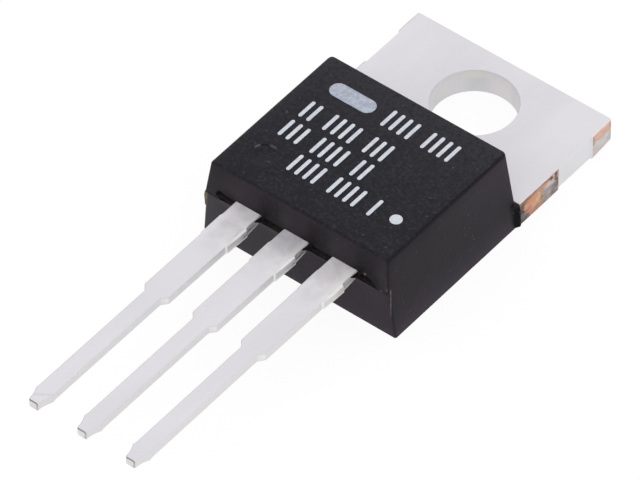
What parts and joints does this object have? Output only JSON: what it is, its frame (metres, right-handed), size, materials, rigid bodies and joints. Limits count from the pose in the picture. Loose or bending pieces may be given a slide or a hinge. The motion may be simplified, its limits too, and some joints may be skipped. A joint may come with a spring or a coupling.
{
  "type": "voltage regulator",
  "caption": "Leaded voltage regulator with a black moulded body, a metal mounting tab with a screw hole, and flat tinned leads; lies on its metal back.",
  "frame": {"origin": "centre of the mounting hole on the tab's back face", "axes": "+Y from the leads towards the tab's far end, +Z out of the marked face, +X to the right seen from above with the leads pointing down"},
  "size_m": [0.0104, 0.0285, 0.0043],
  "materials": {
    "moulded_epoxy": "fine-grained matt moulding",
    "tinned_copper": "satin tin plate over copper",
    "silicon": "polished",
    "solder": "dull",
    "bond_wire": "drawn",
    "marking_ink": "thin matt ink"
  },
  "bodies": {
    "root": {"moulded_body": "moulded_epoxy", "heat_tab_with_middle_lead": "tinned_copper", "ground_lead": "tinned_copper", "input_lead": "tinned_copper", "silicon_chip": "silicon", "chip_solder": "solder", "ground_wire": "bond_wire", "input_wire_inner": "bond_wire", "input_wire_outer": "bond_wire", "output_wire_left": "bond_wire", "output_wire_right": "bond_wire", "face_marks": "marking_ink"}
  },
  "joints": []
}
